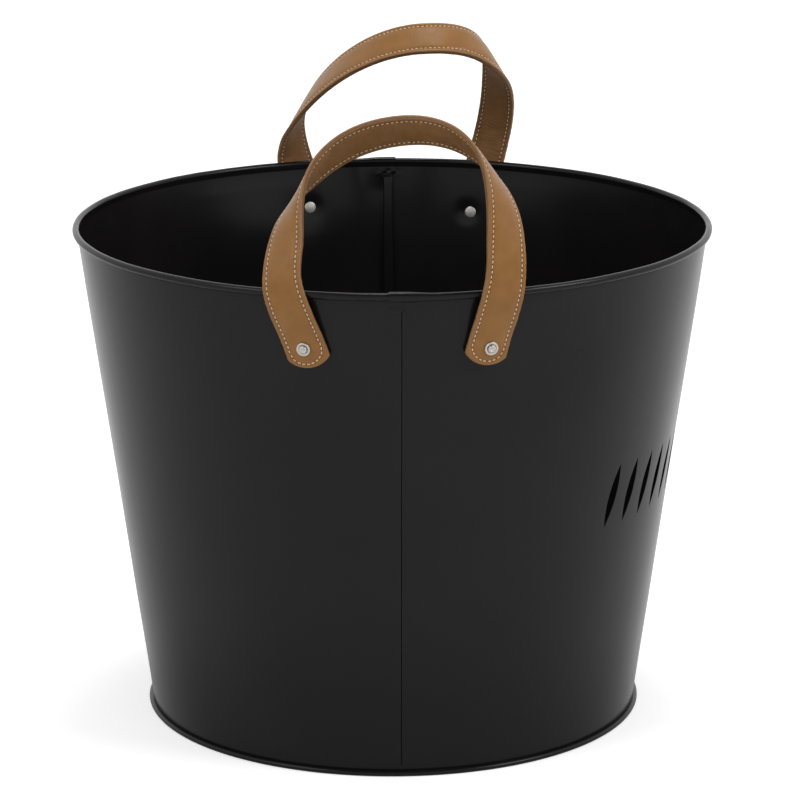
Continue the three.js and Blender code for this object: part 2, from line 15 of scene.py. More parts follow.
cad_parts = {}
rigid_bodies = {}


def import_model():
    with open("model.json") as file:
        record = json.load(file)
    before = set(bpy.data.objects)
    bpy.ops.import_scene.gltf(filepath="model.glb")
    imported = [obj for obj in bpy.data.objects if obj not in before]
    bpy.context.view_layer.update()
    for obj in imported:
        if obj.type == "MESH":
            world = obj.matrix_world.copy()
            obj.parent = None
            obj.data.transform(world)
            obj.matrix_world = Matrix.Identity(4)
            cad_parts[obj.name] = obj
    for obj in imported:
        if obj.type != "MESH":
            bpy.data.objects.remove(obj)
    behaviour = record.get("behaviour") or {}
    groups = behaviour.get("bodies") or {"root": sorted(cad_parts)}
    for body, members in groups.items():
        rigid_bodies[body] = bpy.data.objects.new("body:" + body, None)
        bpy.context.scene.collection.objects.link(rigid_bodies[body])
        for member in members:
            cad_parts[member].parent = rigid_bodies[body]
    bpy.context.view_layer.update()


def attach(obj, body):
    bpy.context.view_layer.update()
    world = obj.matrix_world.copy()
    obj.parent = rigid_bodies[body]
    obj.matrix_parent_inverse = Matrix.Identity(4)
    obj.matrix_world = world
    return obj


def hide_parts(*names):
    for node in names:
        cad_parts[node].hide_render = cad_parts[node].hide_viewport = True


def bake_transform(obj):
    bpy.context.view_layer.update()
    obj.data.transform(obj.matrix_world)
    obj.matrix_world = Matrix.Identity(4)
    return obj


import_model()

MM = 0.001
SHARP = math.radians(35)  # angle past which an edge is shaded as sharp

# ---- Sizes of the frame, in millimetres ----
HEIGHT = 312  # floor to the top of the rolled rim
RIM_RADIUS = 200
BASE_RADIUS = 154.2  # outside of the wall, carried down to the floor
SHEET = 0.6
GAP = 0.3  # clearance between pieces that touch
WIRE_DIAMETER = 2.6
BEAD_STAND = 2.4  # how far the rolled rim stands out from the wall
CURL_SWEEP = 290  # degrees of wire that the rim sheet wraps
FOOT_STAND = 3  # how far the base hem stands out from the wall
BASE_RISE = 5  # lift of the pressed middle of the base
BASE_PRESS_INSET = 12  # from the wall to the foot of the pressed slope
BASE_SLOPE = 5  # width of the pressed slope
SEAM_WIDTH = 6  # across the folded layers of a lock seam
SEAM_RIM_CLEARANCE = 11  # where the folded layers stop below the rim
SEAM_BOTTOM = 6  # where they start above the floor
STRAP_WIDTH = 25
LEATHER = 1.4  # each of a strap's two layers
TAB_TIP_RADIUS = 16  # rounding of a strap's ends
RIM_STEP = 30  # height over which a strap steps out past the rim
RIM_CLEARANCE = 1.1  # how far it clears the rolled rim there
RIM_REACH = 1  # straight stretch of a strap above the rim
CURVE_FADE = 0.3  # share of a leg over which it loses the curve of the wall
SHANK_DIAMETER = 3
HEAD_DIAMETER = 7.9
HEAD_THICKNESS = 1.1
WASHER_DIAMETER = 8.4
WASHER_THICKNESS = 1
WASHER_DIP = 0.3  # depth of the seat round its hole
CLINCH_DIAMETER = 4.6
CLINCH_THICKNESS = 0.8
BORE_DIAMETER = 1.5
VENT_COUNT = 15
VENT_HEIGHT = 41
VENT_WIDTH = 7
VENT_PITCH = 18.5  # along the wall
VENT_LEVEL = 166  # floor to their middle
VENT_SLANT = math.radians(13)
CUT_REACH = 8  # how far their cutter passes the wall on either side

# A loop's top is given by its rise over the rim, its inset from it and its offset along X, and by its
# slope, heading and lean in degrees. In a leg, spread and drop place the rivet from the seam and the rim,
# splay is the tab's lean in degrees, inset is the rivet's distance from the strap's middle, tip its
# distance from the strap's end, and skew shifts the rounding of that end. Above the rim, lift and reach
# pull the leg's curve out at the rim and at the top, twist and bow shape its half twist, arch bends it
# across its width, and sway shifts it sideways.
HANDLES = {
    "front": {
        "side": -1,
        "top": {"rise": 88.2, "inset": 40.8, "offset": 5.2, "slope": 6.8, "heading": -11.9, "lean": 49.4},
        "left": {
            "spread": 53.7, "drop": 34.6, "splay": 19.7, "inset": 0.7, "tip": 12.8, "skew": 1.4,
            "lift": 6, "reach": 81, "twist": 1.16, "bow": 0.36, "arch": 1.6, "sway": 1.9,
        },
        "right": {
            "spread": 55, "drop": 34.7, "splay": 13.8, "inset": 1.8, "tip": 11.2, "skew": 0.5,
            "lift": 6, "reach": 74.5, "twist": 1.27, "bow": 0.4, "arch": 1.8, "sway": 1,
        },
    },
    "rear": {
        "side": 1,
        "top": {"rise": 89.1, "inset": 48.1, "offset": 20.4, "slope": 4.7, "heading": 5, "lean": 38.7},
        "left": {
            "spread": 54, "drop": 31.4, "splay": 18.4, "inset": 1.2, "tip": 12, "skew": 0.9,
            "lift": 31.3, "reach": 53, "twist": 0.6, "bow": 0.97, "arch": 0.8, "sway": 0,
        },
        "right": {
            "spread": 55.8, "drop": 34.8, "splay": 16, "inset": 1.2, "tip": 11.6, "skew": 0.7,
            "lift": 74.5, "reach": 45.8, "twist": 0.89, "bow": 0.34, "arch": 1.7, "sway": 0,
        },
    },
}

# ---- Sizes that follow ----
LAYER = SHEET + GAP
BEAD_RADIUS = WIRE_DIAMETER / 2 + GAP + SHEET
BEAD_R, BEAD_Z = RIM_RADIUS - BEAD_RADIUS, HEIGHT - BEAD_RADIUS
WALL_TOP_RADIUS = RIM_RADIUS - BEAD_STAND
WALL_LEAN = math.atan((WALL_TOP_RADIUS - BASE_RADIUS) / HEIGHT)


def wall_radius(z):
    return BASE_RADIUS + (WALL_TOP_RADIUS - BASE_RADIUS) * (z / HEIGHT)


HEM_Z = 1.5 * LAYER + SHEET / 2
HEM_R = wall_radius(HEM_Z) + FOOT_STAND - HEM_Z
SEAM_TOP = HEIGHT - SEAM_RIM_CLEARANCE
HOOK_START = SEAM_WIDTH / 2 - LAYER - SHEET / 2
STRAP_THICKNESS = 2 * LEATHER + GAP
STRAP_SEAT = 0.625  # wall to a strap's back
STRAP_STEP = RIM_RADIUS + RIM_CLEARANCE - wall_radius(BEAD_Z)
WASHER_SEAT = STRAP_SEAT + STRAP_THICKNESS + GAP
CLINCH_SEAT = WASHER_SEAT + WASHER_THICKNESS - WASHER_DIP + GAP

# ---- Looks of the surfaces, in millimetres ----
DIMPLE_DEPTH = 0.9  # how far a rivet draws the sheet outwards
DIMPLE_WIDTH = 6
BULGE = {"front": 0.6, "rear": 2.8}  # how far the sheet stands inwards below and outside a rivet
BULGE_WIDTH = 36
BULGE_DROP = 20  # from the rivet down to the middle of the bulge
BULGE_ASIDE = 1.6  # its distance from the seam, over the rivet's
RIM_LAP = 0.68  # how far one half shell's rim lies over the other's
RIM_LAP_REACH = 4.5  # from the seam's middle to the end of that lap
RIM_LAP_FADE = 16
FOLD_RADIUS = 0.34  # bends of the sheet at the seam
FOLD_GAP = 0.1
FOLD_TAIL = 1.2  # how far a folded edge runs into the wall that it is part of
TAIL_SINK = 0.02  # how far it lies under that wall's face
RIM_SAG = 0.12  # unevenness of the rim's height
CRUMPLE = 0.7  # unevenness where the seam's folds stop under the rim
WAVE = 0.25  # unevenness of the wall
STITCH_INSET = 2.9  # from a strap's side to the line of stitching
STITCH_TIP_INSET = 2.6  # from its end to that line
STITCH_CORNER = 9  # length of the line's rounding at a strap's end
STITCH_PITCH = 2.9
STITCH_LENGTH = 2.05
STITCH_SLANT = 0.12  # how far a stitch runs aside from one end to the other
STITCH_RISE = 0.42  # from a stitch's ends to its middle
STITCH_SINK = 0.2  # depth of its ends
THREAD_DIAMETER = 0.8
GROOVE_DEPTH = 0.38  # groove in which the stitches lie
GROOVE_WIDTH = 0.8
SWELL = 0.26  # how far a strap swells between its rows of stitches
RIDGE = 0.14  # ridge beside the stitches where a leg leaves the rim
WASHER_DENT = 0.3
CREASE_DEPTH = 0.1  # folds across the lining
FRAY = 0.12  # unevenness of a strap's cut edges
EDGE_ROUNDING = 0.6
INNER_ROUNDING = 0.12
LINING_CLEARANCE = 0.02  # between a strap's two layers
LINING_ASIDE = -0.12  # how far the lining lies to one side of the outer layer
RIM_EASE = 10  # how gently a strap bends over the rim

FOLD_START = SEAM_WIDTH / 2 - SHEET / 2 - FOLD_RADIUS
STEP_START = SEAM_WIDTH / 2 + FOLD_GAP + SHEET / 2 + FOLD_RADIUS


# ---- Numbers ----
def smooth_step(t):
    t = np.clip(t, 0, 1)
    return t * t * (3 - 2 * t)


def hill(distance, width):
    return np.exp(-((distance / width) ** 2))


def unit(vectors):
    return vectors / np.linalg.norm(vectors, axis=-1, keepdims=True)


def run_along(points):
    """Distance along a line of points, from its start."""
    return np.concatenate([[0], np.cumsum(np.linalg.norm(np.diff(points, axis=0), axis=1))])


def _lattice(i, seed):
    h = (i[..., 0] * 374761393 + i[..., 1] * 668265263 + i[..., 2] * 974634777 + seed * 1446653) & 0xFFFFFFFF
    h = ((h ^ (h >> 13)) * 1274126177) & 0xFFFFFFFF
    return ((h ^ (h >> 16)) & 0xFFFF) / 32767.5 - 1


def noise(points, size, seed=0):
    """Smooth noise from -1 to 1 at points, with features of a size."""
    p = np.asarray(points, float) / size
    low = np.floor(p).astype(np.int64)
    f = smooth_step(p - low)
    total = np.zeros(p.shape[:-1])
    for corner in np.ndindex(2, 2, 2):
        weight = np.prod(np.where(np.array(corner), f, 1 - f), axis=-1)
        total += weight * _lattice(low + np.array(corner), seed)
    return total


def arc(x, y, radius, start, end, steps):
    angle = np.radians(np.linspace(start, end, steps + 1))
    return np.stack([x + radius * np.cos(angle), y + radius * np.sin(angle)], axis=1)


def sheet_outline(path):
    """The outline of a bent sheet whose middle follows a path: one side out, the other side back."""
    step = unit(np.diff(path, axis=0))
    before = np.vstack([step[:1], step])
    after = np.vstack([step, step[-1:]])
    tangent = unit(before + after)
    mitre = np.maximum((tangent * after).sum(1), 0.5)
    reach = (SHEET / 2 / mitre)[:, None]
    normal = np.stack([-tangent[:, 1], tangent[:, 0]], axis=1)
    return np.vstack([path + normal * reach, (path - normal * reach)[::-1]])


# ---- Meshes ----
def grid_faces(rows, columns, wrap_rows=False, wrap_columns=False):
    """Quads of a grid of points that is stored row by row."""
    last_row = rows if wrap_rows else rows - 1
    last_column = columns if wrap_columns else columns - 1
    i, j = (v.ravel() for v in np.meshgrid(np.arange(last_row), np.arange(last_column), indexing="ij"))
    k, m = (i + 1) % rows, (j + 1) % columns
    return np.stack([i * columns + j, i * columns + m, k * columns + m, k * columns + j], axis=1).tolist()


def tube_faces(rows, columns, first=0):
    """Faces of a closed tube, with its two ends. Each row of points runs once round it."""
    ends = [list(range(columns))[::-1], list(range((rows - 1) * columns, rows * columns))]
    return [[first + v for v in face] for face in grid_faces(rows, columns, wrap_columns=True) + ends]


def new_mesh(name, points, faces, material):
    """A mesh from points in millimetres."""
    mesh = bpy.data.meshes.new(name)
    mesh.from_pydata((np.asarray(points).reshape(-1, 3) * MM).tolist(), [], faces)
    mesh.materials.append(material)
    return mesh


def linked(name, data):
    """An object of the scene that shows a mesh, a lamp or a camera."""
    made = bpy.data.objects.new(name, data)
    bpy.context.scene.collection.objects.link(made)
    return made


def turn_outwards(mesh, merge):
    """Turns a closed mesh's faces outwards, with points at one place merged or not."""
    work = bmesh.new()
    work.from_mesh(mesh)
    if merge:
        bmesh.ops.remove_doubles(work, verts=work.verts, dist=1e-7)
        bmesh.ops.recalc_face_normals(work, faces=work.faces)
    if work.calc_volume(signed=True) < 0:
        bmesh.ops.reverse_faces(work, faces=work.faces)
    work.to_mesh(mesh)
    work.free()


def make_object(name, points, faces, material):
    mesh = new_mesh(name, points, faces, material)
    turn_outwards(mesh, merge=True)
    mesh.shade_smooth()
    mesh.set_sharp_from_angle(angle=SHARP)
    return linked(name, mesh)


def joined(name, pieces):
    """One object from several, which are used up."""
    for other in bpy.context.scene.objects:
        other.select_set(other in pieces)
    bpy.context.view_layer.objects.active = pieces[0]
    bpy.ops.object.join()
    pieces[0].name = name
    pieces[0].data.name = name
    return pieces[0]


def moved(points, matrix):
    m = np.array(matrix)
    return points @ m[:3, :3].T + m[:3, 3]


def turned(name, outline, columns, material, at=Matrix()):
    """A closed (radius, height) outline turned about Z, and moved to its place."""
    angle = np.linspace(0, 2 * math.pi, columns, endpoint=False)
    r, z = np.asarray(outline, float).T
    ring = [np.outer(r, np.cos(angle)), np.outer(r, np.sin(angle)), np.outer(z, np.ones(columns))]
    points = moved(np.stack(ring, axis=-1).reshape(-1, 3), at)
    return make_object(name, points, grid_faces(len(r), columns, True, True), material)


# ---- Materials ----
class Nodes:
    """The node tree of a material or of the world, with its shader at hand."""

    def __init__(self, owner, shader="Principled BSDF", **sockets):
        owner.use_nodes = True
        self.owner = owner
        self.tree = owner.node_tree
        self.shader = self.tree.nodes[shader]
        for name, value in sockets.items():
            self.shader.inputs[name.replace("_", " ").title().replace("Ior", "IOR")].default_value = value

    def add(self, kind, inputs=None, **settings):
        made = self.tree.nodes.new("ShaderNode" + kind)
        for key, value in settings.items():
            setattr(made, key, value)
        for key, value in (inputs or {}).items():
            if isinstance(value, bpy.types.NodeSocket):
                self.tree.links.new(value, made.inputs[key])
            else:
                made.inputs[key].default_value = value
        return made

    def link(self, socket, name):
        self.tree.links.new(socket, self.shader.inputs[name])

    def place(self):
        """The place on the object, in metres."""
        return self.add("TexCoord").outputs["Object"]

    def strap_place(self):
        """The place on a flat strap, in millimetres."""
        return self.add("UVMap", uv_map="strap").outputs["UV"]

    def value(self, name):
        """A value that the mesh holds at each point."""
        return self.add("Attribute", attribute_name=name).outputs["Fac"]

    def math(self, operation, a, b):
        return self.add("Math", {0: a, 1: b}, operation=operation).outputs[0]

    def mix(self, share, a, b):
        return self.add("Mix", {0: share, 2: a, 3: b}).outputs[0]

    def mix_colours(self, share, a, b):
        return self.add("Mix", {0: share, 6: a, 7: b}, data_type="RGBA").outputs[2]

    def clouds(self, place, scale, detail, **more):
        """Soft noise from 0 to 1 with features 1 / scale across, and finer ones in them."""
        inputs = {"Vector": place, "Scale": scale, "Detail": detail, **more}
        return self.add("TexNoise", inputs).outputs["Fac"]

    def stretched(self, place, scale):
        return self.add("Mapping", {"Vector": place, "Scale": scale}).outputs["Vector"]

    def ramp(self, value, low, high, start=0.3, end=0.7):
        """From one colour to another as a value goes from start to end."""
        made = self.add("ValToRGB", {"Fac": value})
        for element, place, colour in zip(made.color_ramp.elements, (start, end), (low, high)):
            element.position = place
            element.color = colour
        return made.outputs["Color"]

    def range(self, value, low, high, from_low=0.0, from_high=1.0, **settings):
        inputs = {"Value": value, "From Min": from_low, "From Max": from_high, "To Min": low, "To Max": high}
        return self.add("MapRange", inputs, **settings).outputs["Result"]

    def bump(self, height, strength, distance, **normal):
        inputs = {"Height": height, "Strength": strength, "Distance": distance, **normal}
        return self.add("Bump", inputs).outputs["Normal"]


def material_nodes(name, **sockets):
    return Nodes(bpy.data.materials.new(name), **sockets)


def srgb(r, g, b):
    """A colour given as 0 to 255 on screen."""
    linear = [(v / 255 / 12.92 if v <= 10 else ((v / 255 + 0.055) / 1.055) ** 2.4) for v in (r, g, b)]
    return (*linear, 1)


def satin_paint():
    n = material_nodes("satin_paint", specular_ior_level=0.18)
    place = n.place()
    patches = n.clouds(place, 14, 4)
    n.link(n.ramp(patches, srgb(18, 17, 17), srgb(22, 20, 20)), "Base Color")
    n.link(n.range(patches, 0.17, 0.22, 0.3, 0.7), "Roughness")
    n.link(n.bump(n.clouds(place, 900, 2), 0.05, 0.0001), "Normal")
    return n.owner


def bright_metal():
    n = material_nodes("rivet_metal", metallic=1.0)
    scratches = n.clouds(n.stretched(n.place(), (1, 1, 6)), 900, 5)
    n.link(n.ramp(scratches, srgb(170, 166, 160), srgb(208, 203, 196)), "Base Color")
    n.link(n.range(scratches, 0.34, 0.5, 0.3, 0.7), "Roughness")
    n.link(n.bump(scratches, 0.15, 0.0001), "Normal")
    return n.owner


def drawn_wire():
    n = material_nodes("drawn_wire", metallic=1.0)
    grime = n.clouds(n.place(), 300, 3)
    n.link(n.ramp(grime, srgb(96, 96, 98), srgb(140, 140, 142)), "Base Color")
    n.link(n.range(grime, 0.35, 0.5), "Roughness")
    return n.owner


def stitch_shade(n):
    """Painted shade: 1 in the holes that the thread passes, and a little beside the line of stitching."""
    seam = n.value("seam")
    between = n.math("PINGPONG", n.value("count"), 0.5)
    hole = n.math("MULTIPLY", n.range(between, 1.0, 0.0, 0.1, 0.2), n.range(seam, 1.0, 0.0, 0.2, 0.6))
    return n.math("MAXIMUM", n.range(seam, 0.3, 0.0, 0.3, 1.3), hole)


def leather(name, dark, light, edge, hole, rough, grain, crease, sheen):
    """Leather, worn at its border, with painted shade in the stitch holes and beside the stitching. rough is
    its roughness between and in its creases.
    """
    n = material_nodes(name, specular_ior_level=0.3, sheen_weight=sheen, sheen_roughness=0.4)
    flat = n.strap_place()
    fibres = n.clouds(flat, 1.4, 5, Roughness=0.65)
    tone = n.mix(0.4, n.clouds(flat, 0.09, 4, Roughness=0.6), fibres)
    body = n.ramp(tone, dark, light)
    at_edge = n.math("MULTIPLY", n.range(n.value("border"), 1.0, 0.0, 0.1, 0.5), n.range(fibres, 0.55, 1.0))
    colour = n.mix_colours(at_edge, body, edge)
    # Painted shade: the stitch holes and the stitching's groove are darkened towards the colour hole
    n.link(n.mix_colours(stitch_shade(n), colour, hole), "Base Color")
    creases = n.clouds(n.stretched(flat, (0.55, 0.12, 1)), 1, 4, Distortion=0.6)
    n.link(n.range(creases, *rough, 0.3, 0.7), "Roughness")
    pores = n.add("TexVoronoi", {"Vector": flat, "Scale": 1.6, "Randomness": 1.0}, feature="DISTANCE_TO_EDGE")
    cells = n.range(pores.outputs["Distance"], 0.0, 1.0, 0.0, 0.22)
    normal = n.bump(creases, crease, 0.0006)
    normal = n.bump(cells, grain, 0.00012, Normal=normal)
    n.link(n.bump(fibres, grain, 0.00015, Normal=normal), "Normal")
    return n.owner


def waxed_thread():
    n = material_nodes("thread", specular_ior_level=0.3)
    waves = {"Vector": n.strap_place(), "Scale": 1.1, "Distortion": 1.0}
    twist = n.add("TexWave", waves, bands_direction="DIAGONAL").outputs["Fac"]
    n.link(n.ramp(twist, srgb(186, 154, 120), srgb(228, 204, 174), 0.0, 1.0), "Base Color")
    n.link(n.range(twist, 0.75, 0.6), "Roughness")
    n.link(n.bump(twist, 0.4, 0.0001), "Normal")
    return n.owner


PAINT = satin_paint()
RIVET_METAL = bright_metal()
WIRE_STEEL = drawn_wire()
# hole: the dark colour of the painted shade in each leather's stitch holes and beside its stitching
TAN = leather(
    "leather", dark=srgb(122, 81, 34), light=srgb(142, 98, 44), edge=srgb(134, 98, 66), hole=srgb(78, 48, 26),
    rough=(0.3, 0.42), grain=0.25, crease=0.16, sheen=0.17,
)
LINING = leather(
    "leather_lining", dark=srgb(112, 76, 38), light=srgb(140, 100, 57), edge=srgb(116, 82, 52),
    hole=srgb(76, 50, 28), rough=(0.46, 0.62), grain=0.7, crease=1.0, sheen=0.05,
)
THREAD = waxed_thread()


# ---- Bucket ----
def fixed(piece, node):
    """Makes a piece part of the bucket, in a node's place."""
    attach(piece, "bucket")
    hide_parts(node)


def levels():
    """Heights of the wall's rows of points: close together at the rivets and at the seam's ends."""
    bands = [
        (SEAM_BOTTOM - 3, SEAM_BOTTOM - 0.4, 0.65),
        (SEAM_BOTTOM - 0.4, SEAM_BOTTOM + 2.2, 0.3),
        (SEAM_BOTTOM + 2.2, HEIGHT - 50, 4),
        (HEIGHT - 50, SEAM_TOP - 6, 1),
        (SEAM_TOP - 6, SEAM_TOP + 3, 0.3),
        (SEAM_TOP + 3, SEAM_TOP + 6, 0.75),
    ]
    return np.concatenate([np.arange(low, high - step / 2, step) for low, high, step in bands])


def wall_path():
    """The middle of the wall's sheet: the hem at its foot, the wall, and the curl round the rim's wire."""
    back = SHEET / 2 / math.cos(WALL_LEAN)
    hem = arc(HEM_R, HEM_Z, LAYER / 2, -90, 90, 10)
    low, neck = HEM_Z + LAYER / 2, BEAD_Z - BEAD_RADIUS - SHEET
    curl = arc(BEAD_R, BEAD_Z, BEAD_RADIUS - SHEET / 2, 180, 180 - CURL_SWEEP, 40)
    z = levels()
    z = np.array([low, *z[(z > low + 0.5) & (z < neck)], neck])
    straight = np.stack([wall_radius(z) - back, z], axis=1)
    foot = [(wall_radius(0) - back, HEM_Z - LAYER / 2)]
    return np.vstack([foot, hem, straight, curl])


def base_path():
    """The middle of the base's sheet: the pressed middle, its slope, and the hem round the wall's hem."""
    foot = wall_radius(0) - BASE_PRESS_INSET
    fold = arc(HEM_R, HEM_Z, 1.5 * LAYER, -90, 90, 12)
    middle = BASE_RISE + SHEET / 2
    share = np.linspace(0, 1, 9)
    slope = middle + (SHEET / 2 - middle) * smooth_step(share)
    run = np.stack([foot - BASE_SLOPE * share[::-1], slope], axis=1)
    inner = [(r, middle) for r in range(0, 121, 30)]
    return np.vstack([inner, run, fold, [(wall_radius(fold[-1, 1]) + GAP, fold[-1, 1])]])


def rivet_places():
    """(x, y, z) of the four rivets where they pass the outside of the wall, with their names."""
    for name, handle in HANDLES.items():
        for x, side in ((-1, "left"), (1, "right")):
            z = HEIGHT - handle[side]["drop"]
            r = wall_radius(z)
            angle = handle[side]["spread"] / r
            place = [x * r * math.sin(angle), handle["side"] * r * math.cos(angle), z]
            yield f"{name}_{side}", np.array(place)


def wave(points):
    """The slow unevenness of the wall, which fades out at the rim and at the foot."""
    z = points[:, 2]
    slow = WAVE * (noise(points, 75, 1) + 0.5 * noise(points, 38, 2))
    return slow * smooth_step((HEIGHT - 8 - z) / 30) * smooth_step((z - SEAM_BOTTOM) / 30)


def round_rivet(name, place, points):
    """How far a rivet draws the sheet outwards, and how far it stands inwards beside and below it."""
    distance = np.linalg.norm(points - place, axis=1)
    dimple = DIMPLE_DEPTH * (1.3 * hill(distance, DIMPLE_WIDTH) - 0.3 * hill(distance, 2.1 * DIMPLE_WIDTH))
    middle = place * [BULGE_ASIDE, 1, 1] - [0, 0, BULGE_DROP]
    bulge = BULGE[name.split("_")[0]] * hill(np.linalg.norm(points - middle, axis=1), BULGE_WIDTH)
    bulge *= 1 - hill(distance, 16)
    return dimple - bulge * smooth_step((HEIGHT - 5 - points[:, 2]) / 12)


def uneven(points, from_lap):
    """Sheet points moved a little, as on the real sheet. from_lap is the distance along the wall from
    the edge that laps the other half shell: on the inside of the wall and over its rolled rim."""
    x, y, z = points.T
    outwards = np.hypot(x, y)
    radial = np.stack([x, y, np.zeros_like(x)], axis=1) / outwards[:, None]
    shift = wave(points)
    for name, place in rivet_places():
        shift = shift + round_rivet(name, place, points)
    at_fold_end = hill(z - SEAM_TOP - 1.5, 3) * hill(x, 5)
    shift = shift + CRUMPLE * at_fold_end * noise(points, 2.6, 3)
    lap = RIM_LAP * smooth_step((RIM_LAP_REACH + SEAM_WIDTH + RIM_LAP_FADE - from_lap) / RIM_LAP_FADE)
    lap *= smooth_step((z - SEAM_TOP + 12) / 18)
    across = outwards - BEAD_R
    up = np.where(across > -1, z - BEAD_Z, np.maximum(z - BEAD_Z, 0))
    reach = np.maximum(np.hypot(across, up), 1e-6)
    sagging = RIM_SAG * (noise(points, 24, 4) + 0.5 * noise(points, 9, 7)) * smooth_step((z - BEAD_Z + 6) / 3)
    shift = shift + lap * across / reach
    return points + radial * shift[:, None] + np.stack([0 * x, 0 * x, lap * up / reach + sagging], axis=1)


def wall_angles(r, z):
    """Angles of the half shell's columns of points, from its front edge round -X to its rear edge, for
    each point (r, z) of its outline. The edges step back where the folded edges continue the sheet."""
    side = SEAM_WIDTH / 2
    in_seam = smooth_step((z - SEAM_BOTTOM - 1) / 0.2 + 0.5) * smooth_step((SEAM_TOP - 1 - z) / 0.2 + 0.5)
    over = smooth_step(z - SEAM_TOP + 1)
    front = side + in_seam * (FOLD_START - FOLD_TAIL / 2 - side)
    rear = side + FOLD_GAP + in_seam * (STEP_START - side - FOLD_GAP)
    front_edge = -np.arcsin(front / r)
    rear_edge = math.pi - np.arcsin((rear - over * (RIM_LAP_REACH + side + FOLD_GAP)) / r)
    near = np.radians([2.6, 3.4, *np.arange(4.2, 26, 0.45)])
    middle = np.radians(np.arange(26, 154.01, 1.0))
    shared = np.concatenate([near, middle, math.pi - near[::-1]])
    ends = np.array([0, 0.04, 0.08, 0.13, 0.18, 0.24, 0.3, 0.37, 0.44, 0.52, 0.6, 0.7, 0.8, 0.9])
    first = front_edge[:, None] + (shared[0] - front_edge)[:, None] * ends
    last = rear_edge[:, None] + (shared[-1] - rear_edge)[:, None] * ends[::-1]
    return np.hstack([first, np.broadcast_to(shared, (len(r), len(shared))), last])


def wall_sheet(name):
    """The sheet of the half shell at -X, without its folded edges."""
    r, z = sheet_outline(wall_path()).T
    angle = wall_angles(r, z)
    radius = r[:, None]
    heights = np.broadcast_to(z[:, None], angle.shape)
    points = np.stack([-radius * np.sin(angle), -radius * np.cos(angle), heights], axis=-1).reshape(-1, 3)
    from_lap = (radius * (math.pi + np.arcsin(RIM_LAP_REACH / radius) - angle)).ravel()
    rows, columns = angle.shape
    faces = grid_faces(rows, columns, wrap_rows=True)
    for column in (0, columns - 1):
        for i in range(rows // 2 - 1):
            across = rows - 1 - i
            faces.append([row * columns + column for row in (i, i + 1, across - 1, across)])
    return make_object(name, uneven(points, from_lap), faces, PAINT)


def seam_edge(name, path, rear=False):
    """A folded edge: an (across, inwards) path extruded up the seam, at the front or turned to the rear."""
    length = (SEAM_TOP - SEAM_BOTTOM) / math.cos(WALL_LEAN)
    plain = length - 12  # its end above that is crumpled
    up = np.concatenate([np.linspace(0, plain, 40), np.linspace(plain + 0.4, length, 30)])
    a, b = sheet_outline(path).T
    across = np.broadcast_to(a, (len(up), len(a)))
    y = -wall_radius(SEAM_BOTTOM) + math.cos(WALL_LEAN) * b - math.sin(WALL_LEAN) * up[:, None]
    z = SEAM_BOTTOM + math.sin(WALL_LEAN) * b + math.cos(WALL_LEAN) * up[:, None]
    points = np.stack([across, y, z], axis=-1).reshape(-1, 3)
    if rear:
        points = points * [-1, -1, 1]
    return make_object(name, uneven(points, from_lap=1e3), tube_faces(len(up), len(a)), PAINT)


def flush_fold():
    """The edge that stays flush outside and turns once under the other."""
    level, deep = SHEET / 2, SHEET / 2 + 2 * LAYER
    first = arc(FOLD_START, level + FOLD_RADIUS, FOLD_RADIUS, -90, 0, 8)
    second = arc(FOLD_START, deep - FOLD_RADIUS, FOLD_RADIUS, 0, 90, 8)
    return np.vstack([[(FOLD_START - FOLD_TAIL, level + TAIL_SINK)], first, second, [(-FOLD_START, deep)]])


def stepped_fold():
    """The edge that steps inwards and hooks round the flush one."""
    level = SHEET / 2
    deep = level + 3 * LAYER
    outer = arc(STEP_START, level + FOLD_RADIUS, FOLD_RADIUS, -90, -180, 8)
    inner = arc(STEP_START - 2 * FOLD_RADIUS, deep - FOLD_RADIUS, FOLD_RADIUS, 0, 90, 8)
    fold = arc(-HOOK_START, deep - LAYER, LAYER, 90, 270, 16)
    tail = [(STEP_START + FOLD_TAIL, level + TAIL_SINK)]
    return np.vstack([tail, outer, inner, fold, [(HOOK_START, level + LAYER)]])


def half_shell(name, right=False):
    """The half shell at -X or, turned round and vented, at +X. Its two edges are folded differently."""
    sheet = wall_sheet(name)
    folds = [seam_edge("flush", flush_fold()), seam_edge("stepped", stepped_fold(), rear=True)]
    if right:
        for piece in (sheet, *folds):
            piece.data.transform(Matrix.Rotation(math.pi, 4, "Z"))
        cut_vents(sheet)
    return joined(name, [sheet, *folds])


def wall_matrix(angle, z, turn=0.0):
    """A frame on the wall's outside: X along the wall, Y up the wall and Z outwards."""
    along = Vector((-math.sin(angle), math.cos(angle), 0))
    radial = Vector((math.cos(angle), math.sin(angle), 0))
    outwards = radial * math.cos(WALL_LEAN) - Vector((0, 0, math.sin(WALL_LEAN)))
    place = radial * wall_radius(z) + Vector((0, 0, z))
    axes = Matrix((along, outwards.cross(along), outwards)).transposed().to_4x4()
    return Matrix.Translation(place) @ axes @ Matrix.Rotation(turn, 4, "Z")


def vent_outline():
    """A leaf shape: two arcs that meet at its top and bottom."""
    half_width, half_height = VENT_WIDTH / 2, VENT_HEIGHT / 2
    radius = (half_height**2 + half_width**2) / VENT_WIDTH
    half = math.degrees(math.asin(half_height / radius))
    right = arc(half_width - radius, 0, radius, -half, half, 24)
    left = arc(radius - half_width, 0, radius, 180 - half, 180 + half, 24)
    return np.vstack([right[:-1], left[:-1]])


